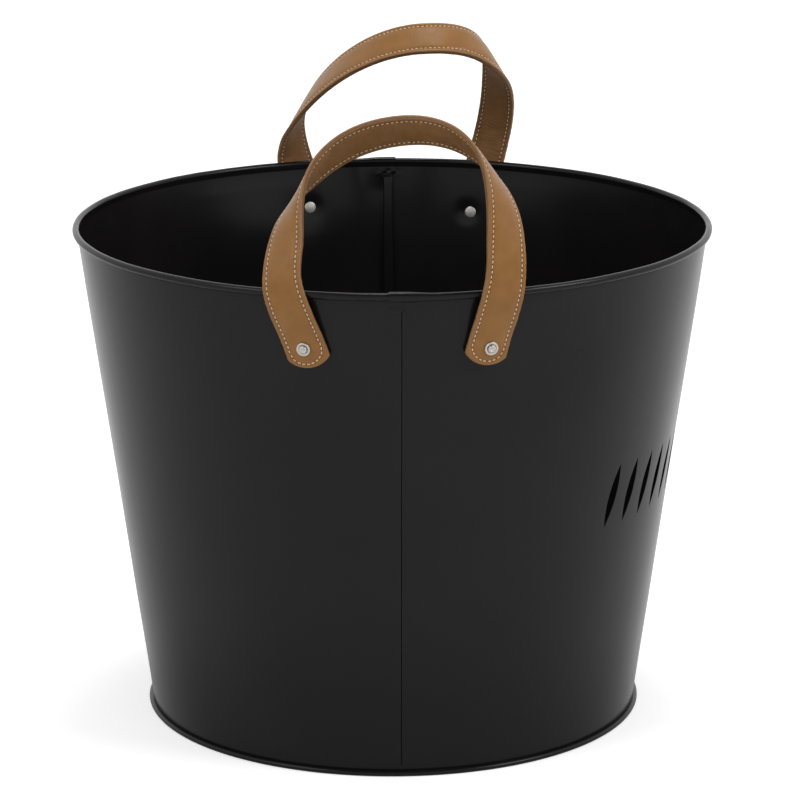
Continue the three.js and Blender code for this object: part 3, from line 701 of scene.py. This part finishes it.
def cut_vents(panel):
    outline = vent_outline()
    count = len(outline)
    points, faces = [], []
    for index in range(VENT_COUNT):
        angle = (index - (VENT_COUNT - 1) / 2) * VENT_PITCH / wall_radius(VENT_LEVEL)
        at = wall_matrix(angle, VENT_LEVEL, -VENT_SLANT)
        faces += tube_faces(2, count, first=2 * count * index)
        for depth in (-CUT_REACH, CUT_REACH):
            points.append(moved(np.column_stack([outline, np.full(count, depth)]), at))
    cutter = make_object("vent_cutter", np.vstack(points), faces, PAINT)
    cut = panel.modifiers.new("vents", "BOOLEAN")
    cut.operation, cut.solver, cut.object = "DIFFERENCE", "MANIFOLD", cutter
    bpy.context.view_layer.objects.active = panel
    bpy.ops.object.modifier_apply(modifier="vents")
    bpy.data.objects.remove(cutter)
    panel.data.shade_smooth()
    panel.data.set_sharp_from_angle(angle=SHARP)


def bucket():
    fixed(half_shell("bucket_wall_left"), "wall_panel_left")
    fixed(half_shell("bucket_wall_right", right=True), "wall_panel_right")
    fixed(turned("bucket_base", sheet_outline(base_path()), 360, PAINT), "base_disc")
    ring = arc(BEAD_R, BEAD_Z, WIRE_DIAMETER / 2, 0, 360, 16)[:-1]
    fixed(turned("bucket_rim_wire", ring, 240, WIRE_STEEL), "rim_wire")


# ---- Rivets ----
def rounded(corners, radius):
    """An outline with its corners rounded off. Each corner is (x, y, share of the radius)."""
    points = []
    for i, (x, y, share) in enumerate(corners):
        here = np.array([x, y], float)
        if share == 0:
            points.append(here)
            continue
        ends = []
        for other in (corners[i - 1], corners[(i + 1) % len(corners)]):
            step = np.array(other[:2], float) - here
            length = np.linalg.norm(step)
            ends.append(here + step / length * min(radius * share, length * 0.45))
        for t in np.linspace(0, 1, 5):
            points.append((1 - t) ** 2 * ends[0] + 2 * t * (1 - t) * here + t**2 * ends[1])
    return np.array(points)


def rivet_outline():
    """(radius, height) from the middle of the head, inside the bucket, to the hollow of the rolled end."""
    head, shank, roll, bore = (d / 2 for d in (HEAD_DIAMETER, SHANK_DIAMETER, CLINCH_DIAMETER, BORE_DIAMETER))
    seat = -SHEET - GAP / 2 + DIMPLE_DEPTH
    bend = np.linspace(0, math.pi / 2, 7)
    rounding = 0.7
    rim = np.stack([head - rounding * (1 - np.sin(bend)), seat - 0.25 - 0.6 * np.cos(bend)], axis=1)
    face = [(0, seat - HEAD_THICKNESS), (head * 0.4, seat - HEAD_THICKNESS + 0.03)]
    angle = np.linspace(0, math.pi, 13)[:-2]
    middle, rise = (roll + bore) / 2, 0.85 * CLINCH_THICKNESS
    rolled = np.stack([middle + (roll - middle) * np.cos(angle), CLINCH_SEAT + rise * np.sin(angle)], axis=1)
    floor = CLINCH_SEAT + 0.3
    hollow = [(bore * 0.8, floor), (0, floor + 0.06)]
    return np.vstack([face, rim, [(head, seat), (shank, seat), (shank, CLINCH_SEAT)], rolled, hollow])


def washer_outline():
    outer, hole, groove = WASHER_DIAMETER / 2, SHANK_DIAMETER / 2 + GAP, CLINCH_DIAMETER / 2 + GAP
    seat, top = WASHER_SEAT - GAP, WASHER_SEAT + WASHER_THICKNESS
    corners = [
        (hole, seat, 0), (outer, seat, 0), (outer, top - 0.1, 1), (groove + 0.5, top, 0.8),
        (groove, top - WASHER_DIP - 0.1, 0.4), (hole, top - WASHER_DIP - 0.1, 0),
    ]
    return rounded(corners, radius=0.7)


def rivets():
    for name, place in rivet_places():
        at = wall_matrix(math.atan2(place[1], place[0]), place[2])
        for kind, outline, columns in (("rivet", rivet_outline(), 48), ("washer", washer_outline(), 64)):
            piece = turned(f"{kind}_{name}_metal", outline, columns, RIVET_METAL, at)
            fixed(piece, f"{kind}_{name}")


# ---- Straps ----
class Strap:
    """A handle's strap as a surface: point(u, w, t) is u along it from its left end's tip, w across it
    towards the seam or upwards, and t out from the middle of its thickness."""

    def __init__(self, handle):
        self.side = handle["side"]
        self.legs = {x: self._leg(handle["top"], handle["left" if x < 0 else "right"], x) for x in (-1, 1)}
        self.top = self.legs[-1]["whole"]
        self.length = self.top + self.legs[1]["whole"]
        self.line = self._stitch_line()
        self.line_run = run_along(self.point(self.line[:, 0], self.line[:, 1], 0))
        self.stitch_count = int(self.line_run[-1] / STITCH_PITCH)

    @staticmethod
    def _tab_point(leg, a, w, t):
        """a is up the tab from its rivet."""
        splay = math.radians(leg["splay"])
        along = leg["inset"] - leg["spread"] - a * math.sin(splay) + w * math.cos(splay)
        z = HEIGHT - leg["drop"] + (a * math.cos(splay) + w * math.sin(splay)) * math.cos(WALL_LEAN)
        step = STRAP_STEP * smooth_step((z - (BEAD_Z - BEAD_RADIUS - RIM_STEP)) / RIM_STEP)
        radius = wall_radius(z) + STRAP_SEAT + STRAP_THICKNESS / 2 + step + t
        angle = along / wall_radius(z)
        return np.stack([radius * np.sin(angle), -radius * np.cos(angle), z], axis=-1)

    def _leg(self, top, leg, x):
        """A leg's values with what follows from them. x is -1 for the left leg, and 1 for the right one."""
        roll, yaw, tilt = (math.radians(top[k]) for k in ("slope", "heading", "lean"))
        point = np.array([-x * top["offset"], top["inset"] - RIM_RADIUS, HEIGHT + top["rise"]])
        level = math.cos(yaw)
        tangent = np.array([math.cos(roll) * level, -x * math.sin(yaw), -x * math.sin(roll) * level])
        across = np.array([0, -math.cos(tilt), math.sin(tilt)])
        across = unit(across - (across @ tangent) * tangent)
        tab = (leg["drop"] + RIM_REACH) / (math.cos(math.radians(leg["splay"])) * math.cos(WALL_LEAN))
        start, below, upper, lower = (
            self._tab_point(leg, np.array([tab + a]), np.array([w]), 0)[0]
            for a, w in ((0, 0), (-0.5, 0), (0, 0.5), (0, -0.5))
        )
        knots = [start, start + unit(start - below) * leg["lift"], point - tangent * leg["reach"], point]
        s = np.linspace(0, 1, 801)
        length = run_along(self._bezier(knots, s))
        flat = leg["tip"] + tab  # the part that lies on the wall
        return {
            **leg, "knots": knots, "wide": unit(upper - lower), "across": across, "s": s, "length": length,
            "flat": flat, "whole": flat + length[-1],
        }

    @staticmethod
    def _bezier(k, s):
        s = s[:, None]
        return (1 - s) ** 3 * k[0] + 3 * s * (1 - s) ** 2 * k[1] + 3 * s**2 * (1 - s) * k[2] + s**3 * k[3]

    @classmethod
    def _leg_point(cls, leg, s, w, t):
        """s is the share of the leg's curve, from 0 at the rim to 1 at the top of the loop."""
        k = leg["knots"]
        e = s[:, None]
        tangent = unit((1 - e) ** 2 * (k[1] - k[0]) + 2 * e * (1 - e) * (k[2] - k[1]) + e**2 * (k[3] - k[2]))
        turn = smooth_step(s ** leg["twist"])[:, None]
        across = leg["wide"] * (1 - turn) ** 2 + np.array([0, -1, 0]) * 2 * turn * (1 - turn) * leg["bow"]
        across = across + leg["across"] * turn**2
        across = unit(across - (across * tangent).sum(1)[:, None] * tangent)
        outwards = np.cross(across, tangent)
        turn = turn[:, 0]
        curl = w**2 / (2 * RIM_RADIUS) * (1 - smooth_step(s / CURVE_FADE))
        arch = leg["arch"] * 4 * turn * (1 - turn) * (w / (STRAP_WIDTH / 2)) ** 2
        return cls._bezier(k, s) + across * w[:, None] + outwards * (t - curl - arch)[:, None]

    def point(self, u, w, t):
        """Near the rim, where the leather bends, an average over a stretch of the strap."""
        u, w, t = (np.asarray(v, float).ravel() for v in np.broadcast_arrays(u, w, t))
        ease = RIM_EASE * smooth_step(1.5 - np.abs(self.above_rim(u)) / 20)
        w = w + self._of_leg(u, "sway") * hill(self.above_rim(u) - 27, 16)
        spread = np.linspace(-1.8, 1.8, 9)
        share = hill(spread, 1.2)
        share /= share.sum()
        return sum(b * self._crisp_point(u + a * ease, w, t) for a, b in zip(spread, share))

    def _crisp_point(self, u, w, t):
        out = np.zeros((len(u), 3))
        right = u > self.top
        for x, chosen in ((-1, ~right), (1, right)):
            leg = self.legs[x]
            run = self.length - u if x > 0 else u
            flat = chosen & (run <= leg["flat"])
            free = chosen & (run > leg["flat"])
            out[flat] = self._tab_point(leg, run[flat] - leg["tip"], w[flat], t[flat])
            s = np.interp(run[free] - leg["flat"], leg["length"], leg["s"])
            out[free] = self._leg_point(leg, s, w[free], t[free])
            out[chosen] *= [-x, -self.side, 1]
        return out

    def _of_leg(self, u, key):
        """A leg's value at each place along the strap."""
        return np.where(u > self.top, self.legs[1][key], self.legs[-1][key])

    def run(self, u):
        """Distance from the nearer end's tip."""
        return np.where(u > self.top, self.length - u, u)

    def border(self, u, w):
        """Distance in millimetres from a point of the strap to its border."""
        run = self.run(u)
        from_side = STRAP_WIDTH / 2 - np.abs(w)
        from_tip = TAB_TIP_RADIUS - np.hypot(w - self._of_leg(u, "skew"), run - TAB_TIP_RADIUS)
        return np.where(run < TAB_TIP_RADIUS, np.minimum(from_side, from_tip), from_side)

    def sides(self, u):
        """The lowest and highest w at each place along the strap."""
        run, skew = self.run(u), self._of_leg(u, "skew")
        reach = np.sqrt(np.maximum(TAB_TIP_RADIUS**2 - (run - TAB_TIP_RADIUS) ** 2, 0))
        reach = np.where(run < TAB_TIP_RADIUS, reach, STRAP_WIDTH)
        return np.maximum(skew - reach, -STRAP_WIDTH / 2), np.minimum(skew + reach, STRAP_WIDTH / 2)

    def from_rivet(self, u, w):
        """Distance from the middle of the nearer rivet."""
        return np.hypot(self.run(u) - self._of_leg(u, "tip"), w + self._of_leg(u, "inset"))

    def above_rim(self, u):
        """Distance along the strap from where it leaves the rim."""
        return self.run(u) - self._of_leg(u, "flat")

    def _stitch_line(self):
        """(u, w) points of the line of stitching, all round the strap, rounded at both tips."""
        share = np.linspace(0, 1, 70) ** 2
        half = STRAP_WIDTH / 2 - STITCH_INSET
        wide = half * np.sqrt(np.clip(1 - (1 - share) ** 2, 0, 1))
        first = STITCH_TIP_INSET + STITCH_CORNER * share
        last = self.length - first[::-1]
        middle = np.linspace(first[-1], last[0], 900)[1:-1]
        u = np.concatenate([first, middle, last])
        w = np.concatenate([wide, np.full(len(middle), half), wide[::-1]])
        up, down = np.stack([u, w], axis=1), np.stack([u, -w], axis=1)[::-1]
        return np.vstack([up, down[1:]])

    def from_stitching(self, u, w):
        """Distance to the line of stitching, and the count of stitches along it."""
        tree = KDTree(len(self.line))
        for i, (a, b) in enumerate(self.line):
            tree.insert((a, b, 0), i)
        tree.balance()
        spots = np.stack([np.ravel(u), np.ravel(w)], axis=1)
        nearest = np.array([tree.find((a, b, 0))[1] for a, b in spots])
        ahead = unit(np.gradient(self.line, axis=0))
        offset = spots - self.line[nearest]
        along = (offset * ahead[nearest]).sum(1)
        distance = np.abs(offset[:, 0] * ahead[nearest, 1] - offset[:, 1] * ahead[nearest, 0])
        distance = np.where(np.abs(along) > 0.6, np.linalg.norm(offset, axis=1), distance)
        count = (self.line_run[nearest] + along) * self.stitch_count / self.line_run[-1]
        return distance.reshape(np.shape(u)), count.reshape(np.shape(u))


def strap_relief(strap, u, w, face, seam=0.0):
    """How far a strap's surface lies from its plain level: a groove for the stitching, a slight swell
    between the rows of stitches, a dent under each washer, and the unevenness of leather."""
    inside = strap.border(u, w) - STITCH_INSET
    relief = SWELL * smooth_step(inside / 5) - GROOVE_DEPTH * hill(seam, GROOVE_WIDTH)
    relief += RIDGE * hill(inside - 3.4, 0.9) * (w > 0) * hill(strap.above_rim(u) - 16, 16)
    relief -= WASHER_DENT * hill(strap.from_rivet(u, w), 5.5)
    spots = np.stack([u, w, 0 * u + 7 * face], axis=-1)
    relief += 0.05 * noise(spots, 9, 5) + 0.02 * noise(spots, 3, 6)
    if face < 0:
        creases = noise(spots * [1, 0.3, 0], 4.2, 8) + 0.6 * noise(spots * [1, 0.5, 0], 2.2, 9)
        relief += CREASE_DEPTH * creases * smooth_step((strap.above_rim(u) - 30) / 40)
    return relief


def strap_grid(strap):
    """u and w of a layer's points, as rows across it from its left end to its right end. The points lie
    close together at the ends, the sides and the stitching."""
    turn = np.array([0.02, 0.06, 0.1, 0.15, 0.2, 0.26, 0.33, 0.42, 0.52, 0.62, 0.72, 0.8, 0.88, 0.96])
    tip = TAB_TIP_RADIUS * (1 - np.cos(turn))
    inner = np.linspace(tip[-1] + 0.8, strap.length - tip[-1] - 0.8, 330)
    u = np.concatenate([tip, inner, strap.length - tip[::-1]])
    border = [0, 0.04, 0.13, 0.27, 0.45, 0.65, 1.0, 1.5, 2.0, 2.45, 2.9, 3.35, 3.8, 4.8, 5.8, 6.5, 7.2]
    share = 1 - np.array(border) / (STRAP_WIDTH / 2)
    across = np.concatenate([-share, np.linspace(-share[-1], share[-1], 7)[1:-1], share[::-1]])
    low, high = strap.sides(u)
    w = ((low + high)[:, None] + (high - low)[:, None] * across) / 2
    return np.broadcast_to(u[:, None], w.shape), w


def both_sides(outer, inner=None):
    """Values at a layer's points: all of its outer side, then its inner side without the shared edges."""
    inner = outer if inner is None else inner
    return np.concatenate([outer.ravel(), inner[:, 1:-1].ravel()])


def layer_faces(rows, columns):
    outer = grid_faces(rows, columns)
    inner = np.arange(rows * columns).reshape(rows, columns)
    inner[:, 1:-1] = rows * columns + np.arange(rows * (columns - 2)).reshape(rows, -1)
    faces = outer + inner.ravel()[np.array(outer)[:, [0, 3, 2, 1]]].tolist()
    for i in (0, rows - 1):
        faces.append([*range(i * columns, (i + 1) * columns), *inner[i, -2:0:-1].tolist()])
    return faces


def round_edge(border, radius):
    """The share of its thickness that a layer has at a distance from its border."""
    return np.sqrt(np.clip(1 - (1 - np.clip(border / radius, 0, 1)) ** 2, 0, 1))


def strap_layer(name, strap, low, high, face, material, sideways=0.0):
    """One layer of a strap, from its left end to its right end. face is 1 for the finished layer,
    whose outer side is at high, and -1 for the lining, whose outer side is at low."""
    u, w = strap_grid(strap)
    border = strap.border(u, w)
    seam, count = strap.from_stitching(u, w)
    middle, thick = (low + high) / 2, (high - low) / 2
    relief = strap_relief(strap, u, w, face, seam) * smooth_step(border)
    outer = middle + face * (thick * round_edge(border, EDGE_ROUNDING) + relief)
    inner = middle - face * thick * round_edge(border, INNER_ROUNDING)
    fray = FRAY * noise(np.stack([u, w, 0 * u + 5 * face], axis=-1), 1.6, 11) * hill(border, 0.5)
    w = w + sideways + fray
    points = strap.point(both_sides(u), both_sides(w), both_sides(outer, inner))
    flat = np.stack([both_sides(u), both_sides(w, w + 40)], axis=1)
    values = {"border": both_sides(border), "seam": both_sides(seam), "count": both_sides(count)}
    return strap_object(name, new_mesh(name, points, layer_faces(*w.shape), material), flat, values)


def strap_object(name, mesh, flat, values):
    """Gives a mesh a strap's coordinates and its values at each point, and turns its faces outwards."""
    for key, value in values.items():
        attribute = mesh.attributes.new(key, "FLOAT", "POINT")
        attribute.data.foreach_set("value", value.astype(np.float32))
    layer = mesh.uv_layers.new(name="strap")
    corners = np.zeros(len(mesh.loops), np.int32)
    mesh.loops.foreach_get("vertex_index", corners)
    layer.data.foreach_set("uv", flat[corners].astype(np.float32).ravel())
    turn_outwards(mesh, merge=False)
    mesh.shade_smooth()
    return linked(name, mesh)


def stitches(name, strap, level, face):
    """The stitches on one face of a strap, as short bent tubes that dive into the leather."""
    line, run, count = strap.line, strap.line_run, strap.stitch_count
    sides, rings = 8, 9
    phase = np.linspace(0, 1, rings)
    angle = np.linspace(0, 2 * math.pi, sides, endpoint=False)
    rise = STITCH_RISE * np.sin(math.pi * phase) ** 0.7 - STITCH_SINK
    thick = THREAD_DIAMETER / 2 * (0.35 + 0.65 * np.sin(math.pi * np.clip(phase, 0.06, 0.94)) ** 0.5)
    wide, deep = (np.outer(thick, v)[..., None] for v in (np.cos(angle), 0.8 * np.sin(angle)))
    points, faces, flat = [], [], []
    for i in range(count):
        forwards, aside = 0.08 * math.sin(i * 12.9898), 0.1 * math.sin(i * 78.233)  # no two lie alike
        along = (i + 0.5) * run[-1] / count + forwards + (phase - 0.5) * STITCH_LENGTH
        u = np.interp(along, run, line[:, 0])
        w = np.interp(along, run, line[:, 1]) + aside + STITCH_SLANT * (phase - 0.5)
        sunk = 0.1 * noise(np.stack([u, w, 0 * u + 9 * face], axis=-1), 26, 12)
        height = level + face * (sunk + rise + strap_relief(strap, u, w, face))
        centre = strap.point(u, w, height)
        outwards = strap.point(u, w, height + face) - centre
        tangent = unit(np.gradient(centre, axis=0))
        sideways = unit(np.cross(tangent, outwards))
        ring = centre[:, None] + sideways[:, None] * wide + outwards[:, None] * deep
        faces += tube_faces(rings, sides, first=i * sides * rings)
        points.append(ring.reshape(-1, 3))
        flat.append(np.stack([np.repeat(along, sides), np.tile(angle, rings)], axis=1))
    return strap_object(name, new_mesh(name, np.vstack(points), faces, THREAD), np.vstack(flat), {})


def handle(name):
    strap = Strap(HANDLES[name])
    outer = strap_layer(f"{name}_strap_outer", strap, 0.0, STRAP_THICKNESS / 2, 1, TAN)
    lining = strap_layer(
        f"{name}_strap_lining", strap, -STRAP_THICKNESS / 2, -LINING_CLEARANCE, -1, LINING, LINING_ASIDE
    )
    threads = [
        stitches(f"{name}_stitches_outer", strap, STRAP_THICKNESS / 2, 1),
        stitches(f"{name}_stitches_lining", strap, -STRAP_THICKNESS / 2, -1),
    ]
    tabs = [f"{name}_{part}" for part in ("loop", "tab_left", "tab_right")]
    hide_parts(*[f"{part}_outer" for part in tabs])
    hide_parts(*[f"{part}_lining" for part in tabs])
    for piece, slot in ((outer, "leather"), (lining, "leather_lining"), *((t, "thread") for t in threads)):
        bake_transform(piece)


# ---- Stage, in metres ----
FLOOR_COLOUR = 0.86
FLOOR_LIFT = 0.42  # keeps the open floor white in the picture
FLOOR_RADIUS = 9
WORLD_LIGHT = 0.62  # what the surroundings give to matt surfaces
CEILING = 0.1  # what glossy surfaces see overhead
CEILING_WAY = (0, -0.34, 0.94)  # towards its middle
CEILING_EDGE = (0.62, 0.86)  # the cosine from there where it begins, and where it is at its darkest
LAMPS = {
    "left": {"place": (-1.7, -1.2, 2.3), "edge": 1.3, "watts": 21},
    "right": {"place": (1.9, -0.9, 1.9), "edge": 1.1, "watts": 26},
    "top": {"place": (0.1, 0.5, 2.7), "edge": 0.7, "watts": 17},
}
LAMP_AIM = (0, 0, 0.25)
CAMERA_PLACE = (-0.0278445, -2.3790436, 0.8311475)
CAMERA_TURNS = {"Z": -0.0200740488, "X": 1.30971305, "Y": 0.00620124895}  # radians
LENS = 174.625  # in millimetres, like the sensor's width
SENSOR = 36


def world():
    made = bpy.data.worlds.new("surroundings")
    bpy.context.scene.world = made
    n = Nodes(made, "Background", color=(1, 1, 1, 1))
    ray = n.add("LightPath").outputs
    direct = n.math("MAXIMUM", ray["Is Camera Ray"], ray["Is Glossy Ray"])
    direct = n.math("MAXIMUM", direct, ray["Is Transmission Ray"])
    way = n.add("TexCoord").outputs["Generated"]
    facing = n.add("VectorMath", {0: way, 1: CEILING_WAY}, operation="DOT_PRODUCT").outputs["Value"]
    overhead = n.range(facing, 1.0, CEILING, *CEILING_EDGE, interpolation_type="SMOOTHSTEP")
    in_gloss = n.mix(ray["Is Glossy Ray"], 1.0, overhead)
    n.link(n.math("MULTIPLY", n.range(direct, WORLD_LIGHT, 1.0), in_gloss), "Strength")


def floor():
    grey = (FLOOR_COLOUR, FLOOR_COLOUR, FLOOR_COLOUR, 1)
    white = (1, 1, 1, 1)
    n = material_nodes("floor", base_color=grey, roughness=1, specular_ior_level=0, emission_color=white)
    lift = n.math("MULTIPLY", n.add("LightPath").outputs["Is Camera Ray"], FLOOR_LIFT)
    n.link(lift, "Emission Strength")
    bpy.ops.mesh.primitive_circle_add(vertices=96, radius=FLOOR_RADIUS, fill_type="NGON")
    made = bpy.context.object
    made.name = "floor"
    made.data.materials.append(n.owner)


def lamp(name, place, edge, watts):
    light = bpy.data.lights.new(name, "AREA")
    light.shape = "SQUARE"
    light.size = edge
    light.energy = watts
    made = linked(name, light)
    made.location = place
    made.rotation_euler = (Vector(LAMP_AIM) - Vector(place)).to_track_quat("-Z", "Y").to_euler()


def camera():
    data = bpy.data.cameras.new("camera")
    data.lens = LENS
    data.sensor_width = SENSOR
    data.sensor_fit = "HORIZONTAL"
    turn = Matrix.Identity(4)
    for axis, angle in CAMERA_TURNS.items():
        turn = turn @ Matrix.Rotation(angle, 4, axis)
    made = linked("camera", data)
    made.matrix_world = Matrix.Translation(CAMERA_PLACE) @ turn
    bpy.context.scene.camera = made


camera()
world()
floor()
for side, values in LAMPS.items():
    lamp(side, **values)
bucket()
rivets()
for side in HANDLES:
    handle(side)

bpy.context.scene.view_settings.view_transform = "Standard"
